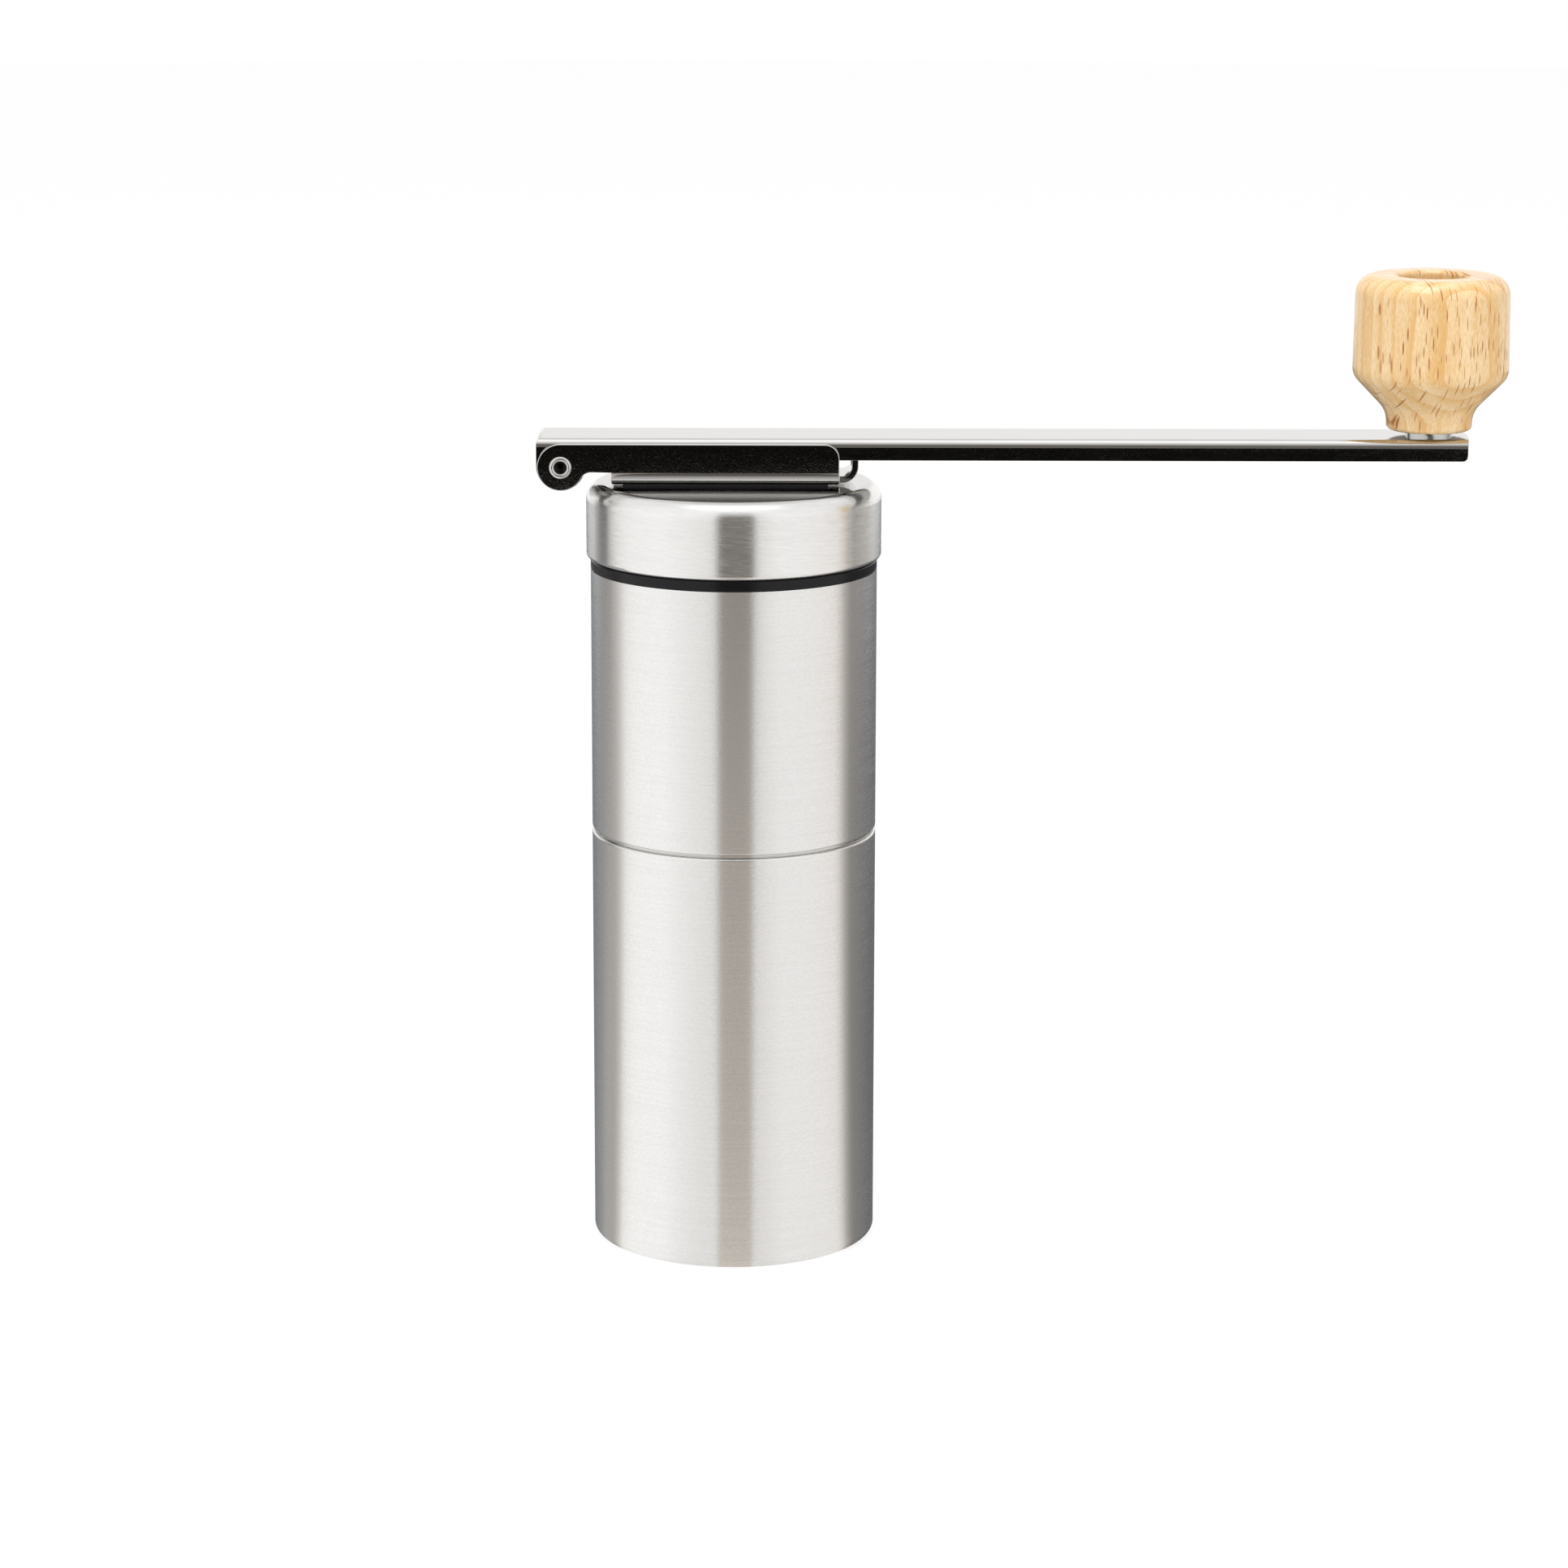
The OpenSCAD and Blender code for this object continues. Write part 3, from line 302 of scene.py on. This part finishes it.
def makeWorld(look, room):
    world = bpy.data.worlds.new("world")
    bpy.context.scene.world = world
    world.use_nodes = True
    tree = world.node_tree
    tree.nodes.clear()
    light = shining(tree, "ShaderNodeBackground", white, look["skyForLight"])
    sight = shining(tree, "ShaderNodeBackground", white, look["skyForSight"])
    gloss = shining(tree, "ShaderNodeBackground", skyReflection(tree, room), 1.0)
    straight = mixShader(tree, seenRay(tree), light, sight)
    addNode(tree, "ShaderNodeOutputWorld", {"Surface": mixShader(tree, glossyRay(tree), straight, gloss)})


def makeFloor(look, room):
    turns = [2 * math.pi * i / look["floorSides"] for i in range(look["floorSides"])]
    mesh = bpy.data.meshes.new("floor")
    mesh.from_pydata([Vector((math.cos(turn), math.sin(turn), 0)) * look["floorRadius"]
                      for turn in turns], [], [range(len(turns))])
    floor = bpy.data.objects.new("floor", mesh)
    bpy.context.scene.collection.objects.link(floor)
    material, tree = newMaterial("floorPaper")
    paper = addNode(tree, "ShaderNodeBsdfDiffuse", {"Color": look["floorColor"]}).outputs[0]
    glow = shining(tree, "ShaderNodeEmission", white, look["floorGlow"])
    gloss = shining(tree, "ShaderNodeEmission", floorReflection(tree, room), 1.0)
    share = calc(tree, "MULTIPLY", seenRay(tree), look["floorGlowShare"])
    straight = mixShader(tree, share, paper, glow)
    addNode(tree, "ShaderNodeOutputMaterial",
            {"Surface": mixShader(tree, glossyRay(tree), straight, gloss)})
    mesh.materials.append(material)


def makeLamp(name, look):
    data = bpy.data.lights.new(name, "AREA")
    data.shape = "RECTANGLE"
    data.size, data.size_y = look["size"]
    data.energy = look["watts"]
    lamp = bpy.data.objects.new(name, data)
    lamp.location = look["place"]
    lamp.rotation_mode = "QUATERNION"
    lamp.rotation_quaternion = (Vector(look["aim"]) - Vector(look["place"])).to_track_quat("-Z", "Y")
    bpy.context.scene.collection.objects.link(lamp)
    lamp.visible_glossy = "glintOn" in look      # metal sees the room instead
    if "glintOn" in look:
        data.diffuse_factor = 0.0
        lit = bpy.data.collections.new(name)
        lit.objects.link(nodes[look["glintOn"]])
        lamp.light_linking.receiver_collection = lit


makeWorld(studio, roomLook)
makeFloor(studio, roomLook)
for lampName, lampLook in lamps.items():
    makeLamp(lampName, lampLook)
print("studio made")


# materials

def startMaterial(name):
    material, tree = newMaterial(name)
    shader = addNode(tree, "ShaderNodeBsdfPrincipled")
    addNode(tree, "ShaderNodeOutputMaterial", {"Surface": shader.outputs[0]})
    place = addNode(tree, "ShaderNodeTexCoord").outputs["Object"]
    return material, tree, shader, place


def noise(tree, vector, perMetre, detail=2.0, roughness=0.5):
    return addNode(tree, "ShaderNodeTexNoise",
                   {"Vector": vector, "Scale": perMetre, "Detail": detail,
                    "Roughness": roughness}).outputs["Fac"]


def bump(tree, height, strength, depth=grainDepth, **inputs):
    return addNode(tree, "ShaderNodeBump",
                   {"Height": height, "Strength": strength, "Distance": depth, **inputs}).outputs["Normal"]


def shaded(color, share):
    return tuple(part * share for part in color)


brushedSteel = {
    "color": (0.885, 0.88, 0.87),
    "darkLine": (0.83, 0.825, 0.815),
    "lineSpan": (0.38, 0.62),    # the brushing's height, from dark line to plain colour
    "roughness": (0.30, 0.17),   # in the lines and between them
    "dash": (1500, 3600, 3.1),   # short brushing dashes per metre, along and across, and a shift
    "line": (70, 2600, 7.7),     # long faint lines
    "lineShare": 0.35,
    "smear": (1, 1, 0.6),        # faint smears of use, stretched upwards
    "smearPerMetre": 55.0,
    "smearSpan": (0.35, 0.75),
    "smearRoughness": (-0.01, 0.012),
    "anisotropy": 0.95,
    "grainTurn": 0.25,           # of a full turn: the shine spreads across the brushing
    "bumpStrength": 0.12,
    "lean": 0.0,                 # how far walls lean back, as a slope
    "slant": 0.0,                # how steeply the brushing lines drop to the right
    "levelSpan": (0.80, 0.98),   # the normal's upward part, from walls to level faces
    "levelShine": 1.0,           # roughness of level faces against that of walls
    "levelPaintedShade": 1.0,           # and their brightness: painted shade, below 1 it darkens level faces
}
# the lid's level top is darkened as painted shade
lidSteel = dict(brushedSteel, darkLine=(0.84, 0.835, 0.825), roughness=(0.31, 0.14),
                dash=(420, 3600, 3.1), bumpStrength=0.035, lean=0.10, slant=0.10,
                levelShine=0.30, levelPaintedShade=0.72)


def makeBrushedSteel(name, look):
    material, tree, shader, place = startMaterial(name)
    x, y, z = split(tree, place)
    outward = calc(tree, "SQRT", calc(tree, "ADD", calc(tree, "MULTIPLY", x, x),
                                      calc(tree, "MULTIPLY", y, y)))
    height = calc(tree, "SUBTRACT", z, outward)      # level lines on walls, rings on level faces
    height = calc(tree, "MULTIPLY_ADD", x, look["slant"], height)

    def brushing(along, across, shift):
        vector = join(tree, calc(tree, "MULTIPLY_ADD", x, along, shift),
                      calc(tree, "MULTIPLY", y, along), calc(tree, "MULTIPLY", height, across))
        return noise(tree, vector, 1.0, detail=3.0, roughness=0.6)

    grain = blend(tree, look["lineShare"], brushing(*look["line"]), brushing(*look["dash"]))
    smears = noise(tree, vectorCalc(tree, "MULTIPLY", place, look["smear"]), look["smearPerMetre"],
                   detail=3.0)
    rough = calc(tree, "ADD", spread(tree, grain, *look["roughness"]),
                 remap(tree, smears, *look["smearSpan"], *look["smearRoughness"]))
    facing = addNode(tree, "ShaderNodeNewGeometry").outputs["Normal"]
    level = remap(tree, split(tree, facing)[2], *look["levelSpan"], 0.0, 1.0, smooth=True)
    color = mixColor(tree, remap(tree, grain, *look["lineSpan"], 0.0, 1.0),
                     look["darkLine"], look["color"])
    # painted shade: level faces are coloured darker than the walls
    paintedLevelShade = mixColor(tree, level, white, shaded(white, look["levelPaintedShade"]))
    shine = remap(tree, level, 0.0, 1.0, 1.0, look["levelShine"])
    leant = vectorCalc(tree, "NORMALIZE", vectorCalc(tree, "ADD", facing, (0, 0, look["lean"])))
    setInputs(tree, shader, {
        "Base Color": mixColor(tree, 1.0, color, paintedLevelShade, "MULTIPLY"),
        "Roughness": calc(tree, "MULTIPLY", rough, shine),
        "Normal": bump(tree, grain, look["bumpStrength"], Normal=leant),
        "Tangent": addNode(tree, "ShaderNodeTangent", direction_type="RADIAL", axis="Z").outputs[0],
        "Metallic": 1.0,
        "Anisotropic": look["anisotropy"],
        "Anisotropic Rotation": look["grainTurn"],
    })
    return material


mirrorSteel = {
    "color": (0.67, 0.66, 0.645),
    "roughness": (0.02, 0.05),
    "peelPerMetre": 4600,        # the slight orange peel of pressed sheet
    "peelStrength": 0.05,
    "wavePerMetre": 500,
    "waveStrength": 0.02,
    "waveDepth": 0.2 * mm,
    "cloudPerMetre": 60.0,
    "cloudShare": 0.5,
    "scratch": (0.05, 1, 1),     # fine scratches along the arm
    "scratchPerMetre": 1700,
    "scratchSpan": (0.35, 0.7),
    "scratchShade": 0.94,
}
pinSteel = dict(mirrorSteel, shadedHollow={     # painted shade: the punched middle of the rivet's head is coloured near black
    "middle": anchors["arm_fold"], "radius": 1.15 * mm, "edge": 0.85, "color": (0.10, 0.10, 0.10)})


def makeMirrorSteel(name, look):
    material, tree, shader, place = startMaterial(name)
    peel = noise(tree, place, look["peelPerMetre"])
    wave = noise(tree, place, look["wavePerMetre"], detail=1.0)
    scratch = noise(tree, vectorCalc(tree, "MULTIPLY", place, look["scratch"]),
                    look["scratchPerMetre"], detail=3.0, roughness=0.6)
    cloud = noise(tree, place, look["cloudPerMetre"], detail=3.0)
    color = mixColor(tree, remap(tree, scratch, *look["scratchSpan"], 0.0, 1.0), look["color"],
                     shaded(look["color"], look["scratchShade"]))
    # painted shade in the rivet head's punched hollow
    if "shadedHollow" in look:
        shadedSpot = look["shadedHollow"]
        off = vectorCalc(tree, "MULTIPLY", vectorCalc(tree, "SUBTRACT", place, shadedSpot["middle"]), (1, 0, 1))
        shadedShare = remap(tree, vectorCalc(tree, "LENGTH", off), shadedSpot["radius"] * shadedSpot["edge"],
                       shadedSpot["radius"], 1.0, 0.0)
        color = mixColor(tree, shadedShare, color, shadedSpot["color"])
    wavy = bump(tree, wave, look["waveStrength"], look["waveDepth"])
    setInputs(tree, shader, {
        "Base Color": color,
        "Roughness": spread(tree, blend(tree, look["cloudShare"], cloud, scratch), *look["roughness"]),
        "Normal": bump(tree, peel, look["peelStrength"], Normal=wavy),
        "Metallic": 1.0,
    })
    return material


turnedSteel = {
    "color": (0.62, 0.615, 0.60),
    "roughness": (0.22, 0.36),
    "marks": (60, 60, 6000),     # turning marks per metre, along X, Y and Z
    "marksShare": 0.6,
    "grainPerMetre": 900.0,
    "shadeSpan": (0.35, 0.65),
    "shade": 0.86,
    "bumpStrength": 0.06,
}
zincPlate = dict(turnedSteel, color=(0.74, 0.76, 0.74), roughness=(0.10, 0.18))


def makeTurnedSteel(name, look):
    material, tree, shader, place = startMaterial(name)
    marks = noise(tree, vectorCalc(tree, "MULTIPLY", place, look["marks"]), 1.0, detail=3.0)
    grain = noise(tree, place, look["grainPerMetre"], detail=3.0)
    both = blend(tree, look["marksShare"], marks, grain)
    setInputs(tree, shader, {
        "Base Color": mixColor(tree, remap(tree, both, *look["shadeSpan"], 0.0, 1.0), look["color"],
                               shaded(look["color"], look["shade"])),
        "Roughness": spread(tree, both, *look["roughness"]),
        "Normal": bump(tree, marks, look["bumpStrength"]),
        "Metallic": 1.0,
    })
    return material


glossPlastic = {
    "color": (0.005, 0.005, 0.006),
    "paler": 1.35,               # the highest grain against the lowest
    "roughness": (0.10, 0.18),
    "specular": 0.25,
    "cloudPerMetre": 70.0,
    "cloudShare": 0.4,
    "grainPerMetre": 1400,
    "grainStrength": 0.02,
}
mattePlastic = dict(glossPlastic, color=(0.022, 0.022, 0.024), roughness=(0.42, 0.60), specular=0.5,
                    grainPerMetre=4200, grainStrength=0.25)


def makePlastic(name, look):
    material, tree, shader, place = startMaterial(name)
    grain = noise(tree, place, look["grainPerMetre"], detail=3.0, roughness=0.55)
    cloud = noise(tree, place, look["cloudPerMetre"])
    setInputs(tree, shader, {
        "Base Color": mixColor(tree, spread(tree, grain, 0.0, 1.0), look["color"],
                               shaded(look["color"], look["paler"])),
        "Roughness": spread(tree, blend(tree, look["cloudShare"], cloud, grain), *look["roughness"]),
        "Normal": bump(tree, grain, look["grainStrength"]),
        "Specular IOR Level": look["specular"],
    })
    return material


ceramic = {
    "color": (0.86, 0.845, 0.79),
    "speck": (0.72, 0.69, 0.62),
    "speckSpan": (0.52, 0.72),
    "speckShare": 0.8,
    "roughness": (0.38, 0.55),
    "cloudPerMetre": 120.0,
    "grainPerMetre": 3500.0,
    "grainStrength": 0.2,
}


def makeCeramic(name, look):
    material, tree, shader, place = startMaterial(name)
    grain = noise(tree, place, look["grainPerMetre"], detail=3.0, roughness=0.6)
    cloud = noise(tree, place, look["cloudPerMetre"], detail=3.0)
    specks = remap(tree, grain, *look["speckSpan"], 0.0, look["speckShare"])
    setInputs(tree, shader, {
        "Base Color": mixColor(tree, specks, look["color"], look["speck"]),
        "Roughness": spread(tree, cloud, *look["roughness"]),
        "Normal": bump(tree, grain, look["grainStrength"]),
    })
    return material


bronze = {
    "color": (0.50, 0.34, 0.17),
    "pore": (0.20, 0.13, 0.07),
    "poreSpan": (0.58, 0.68),
    "roughness": (0.32, 0.5),
    "poresPerMetre": 5200.0,
    "poreStrength": 0.15,
}


def makeBronze(name, look):
    material, tree, shader, place = startMaterial(name)
    pores = noise(tree, place, look["poresPerMetre"])
    setInputs(tree, shader, {
        "Base Color": mixColor(tree, remap(tree, pores, *look["poreSpan"], 0.0, 1.0),
                               look["color"], look["pore"]),
        "Roughness": spread(tree, pores, *look["roughness"]),
        "Normal": bump(tree, pores, look["poreStrength"]),
        "Metallic": 1.0,
    })
    return material


beech = {
    "axis": Vector((anchors["knob_spin"].x, 0, 0)),      # the knob's own axis
    "heart": Vector((-0.33, 0.945, 0)),      # the way to the middle of the tree
    "heartFar": 60 * mm,
    "pale": (0.82, 0.625, 0.375),
    "warm": (0.70, 0.42, 0.16),
    "toneSpan": (0.38, 0.66),                # from the pale tone to the warm one
    "fibre": (0.20 * mm, 1.1 * mm),          # across and along the grain
    "fibreShare": 0.62,                      # the rest of the tone is cloud
    "fibreHeight": 0.25,                     # against the depth of a fleck
    "cloud": (2.6 * mm, 14 * mm),
    "ringStep": 2.2 * mm,
    "ringShare": 0.20,
    "ringWander": 0.8,                       # of a ring's width
    "ringEdge": 3.0,                         # how late a ring darkens towards its end
    "ringLean": 0.05,
    "stray": (1, 1, 0.4),                    # the noise by which the grain strays, stretched upwards
    "strayPerMetre": 110.0,
    "wander": 0.9 * mm,                      # how far the grain strays from straight
    "fleck": (0.36, 0.12, 0.02),
    "fleckStep": (0.74 * mm, 45 * mm, 5.0 * mm),     # across the rays, along them and upright
    "fleckHalf": (0.14 * mm, 30.0 * mm, 1.5 * mm),
    "fleckEdge": (0.55, 1.05),
    "fleckKept": 0.85,                       # the share of places that have one
    "fleckStrength": (0.5, 1.0),
    "roughness": (0.30, 0.42),
    "bumpStrength": 0.18,
    "coat": 0.75,
    "coatRoughness": 0.10,
    "coatIor": 1.62,
    "specular": 0.03,
}


def makeFlecks(tree, cells, look):       # up to 1 in the middle of a fleck, 0 outside
    nearest = addNode(tree, "ShaderNodeTexVoronoi", {"Vector": cells, "Scale": 1.0, "Randomness": 1.0},
                      feature="F1").outputs["Position"]
    chance = addNode(tree, "ShaderNodeTexWhiteNoise", {"Vector": nearest}).outputs["Value"]
    swell = tuple(step / half for step, half in zip(look["fleckStep"], look["fleckHalf"]))
    off = vectorCalc(tree, "MULTIPLY", vectorCalc(tree, "SUBTRACT", cells, nearest), swell)
    shape = remap(tree, vectorCalc(tree, "LENGTH", off), *look["fleckEdge"], 1.0, 0.0, smooth=True)
    strength = remap(tree, chance, 1 - look["fleckKept"], 1.0, *look["fleckStrength"])
    kept = calc(tree, "GREATER_THAN", chance, 1 - look["fleckKept"])
    return calc(tree, "MULTIPLY", shape, calc(tree, "MULTIPLY", strength, kept))


def makeBeech(name, look):
    material, tree, shader, place = startMaterial(name)
    local = vectorCalc(tree, "SUBTRACT", place, look["axis"])
    heart = look["heart"].normalized()
    stray = noise(tree, vectorCalc(tree, "MULTIPLY", local, look["stray"]), look["strayPerMetre"])
    side = calc(tree, "MULTIPLY_ADD", stray, look["wander"],
                vectorCalc(tree, "DOT_PRODUCT", local, (heart.y, -heart.x, 0)))
    ray = vectorCalc(tree, "DOT_PRODUCT", local, heart)
    up = vectorCalc(tree, "DOT_PRODUCT", local, (0, 0, 1))

    def stretched(across, deep, tall):
        return join(tree, calc(tree, "DIVIDE", side, across), calc(tree, "DIVIDE", ray, deep),
                    calc(tree, "DIVIDE", up, tall))

    fromHeart = join(tree, side, calc(tree, "SUBTRACT", ray, look["heartFar"]),
                     calc(tree, "MULTIPLY", up, look["ringLean"]))
    rings = calc(tree, "DIVIDE", vectorCalc(tree, "LENGTH", fromHeart), look["ringStep"])
    ring = calc(tree, "FRACT", calc(tree, "MULTIPLY_ADD", stray, look["ringWander"], rings))
    lateWood = calc(tree, "POWER", ring, look["ringEdge"])
    across, tall = look["fibre"]
    fibre = noise(tree, stretched(across, across, tall), 1.0, roughness=0.6)
    across, tall = look["cloud"]
    cloud = noise(tree, stretched(across, across, tall), 1.0)
    tone = calc(tree, "MULTIPLY_ADD", lateWood, look["ringShare"],
                blend(tree, look["fibreShare"], fibre, cloud))
    wood = ramp(tree, tone, list(zip(look["toneSpan"], (look["pale"], look["warm"]))))
    fleck = makeFlecks(tree, stretched(*look["fleckStep"]), look)
    height = calc(tree, "SUBTRACT", calc(tree, "MULTIPLY", fibre, look["fibreHeight"]), fleck)
    setInputs(tree, shader, {
        "Base Color": mixColor(tree, fleck, wood, look["fleck"]),
        "Roughness": spread(tree, fibre, *look["roughness"]),
        "Normal": bump(tree, height, look["bumpStrength"]),
        "Coat Weight": look["coat"],
        "Coat Roughness": look["coatRoughness"],
        "Coat IOR": look["coatIor"],
        "Specular IOR Level": look["specular"],
    })
    return material


finishes = [
    (makeBrushedSteel("brushedSteel", brushedSteel), ["container_shell", "hopper_shell"]),
    (makeBrushedSteel("lidSteel", lidSteel), ["lid_cap"]),
    (makeMirrorSteel("mirrorSteel", mirrorSteel), ["neck_sleeve", "crank_bracket", "crank_arm"]),
    (makeMirrorSteel("pinSteel", pinSteel), ["hinge_pin"]),
    (makeTurnedSteel("turnedSteel", turnedSteel),
     ["burr_retainer", "retainer_screws", "drive_shaft", "shaft_clip", "clip_washer", "burr_spring",
      "spring_washer", "bracket_screws", "knob_axle", "knob_top_washer", "knob_screw"]),
    (makeTurnedSteel("zincPlate", zincPlate), ["knob_washer"]),
    (makePlastic("glossPlastic", glossPlastic), ["hopper_collar"]),
    (makePlastic("mattePlastic", mattePlastic),
     ["bracket_spacer", "lid_core", "burr_carrier", "burr_driver", "adjusting_nut"]),
    (makeCeramic("ceramic", ceramic), ["ring_burr", "cone_burr"]),
    (makeBronze("bronze", bronze), ["top_bush", "lower_bush"]),
    (makeBeech("beech", beech), ["knob"]),
]
for material, nodeNames in finishes:
    for nodeName in nodeNames:
        materials = nodes[nodeName].data.materials
        materials.clear()
        materials.append(material)
print("finishes laid on", sum(len(nodeNames) for material, nodeNames in finishes), "nodes")


# broken edges: the cut sheet's edges catch a thin line of light

edgeBreaks = {
    "widths": {"crank_bracket": 0.22 * mm, "crank_arm": 0.28 * mm},
    "segments": 3,
    "sharpFrom": 50,         # degrees between two faces
    "flatWithin": 0.5,       # degrees: what is flatter becomes one face first
    "weldWithin": 0.001 * mm,
    "largeFaces": 100,       # how far large faces win where normals are averaged
}


def breakEdges(thing, width, look):
    weld = thing.modifiers.new("weld", "WELD")
    weld.merge_threshold = look["weldWithin"]
    flat = thing.modifiers.new("flat", "DECIMATE")
    flat.decimate_type = "DISSOLVE"
    flat.angle_limit = math.radians(look["flatWithin"])
    bevel = thing.modifiers.new("bevel", "BEVEL")
    bevel.width = width
    bevel.segments = look["segments"]
    bevel.limit_method = "ANGLE"
    bevel.angle_limit = math.radians(look["sharpFrom"])
    facing = thing.modifiers.new("facing", "WEIGHTED_NORMAL")      # flats stay flat up to their edges
    facing.weight = look["largeFaces"]
    facing.keep_sharp = True
    for face in thing.data.polygons:
        face.use_smooth = True


for nodeName, width in edgeBreaks["widths"].items():
    breakEdges(nodes[nodeName], width, edgeBreaks)
print("edges broken on", len(edgeBreaks["widths"]), "nodes")


print("scene made")
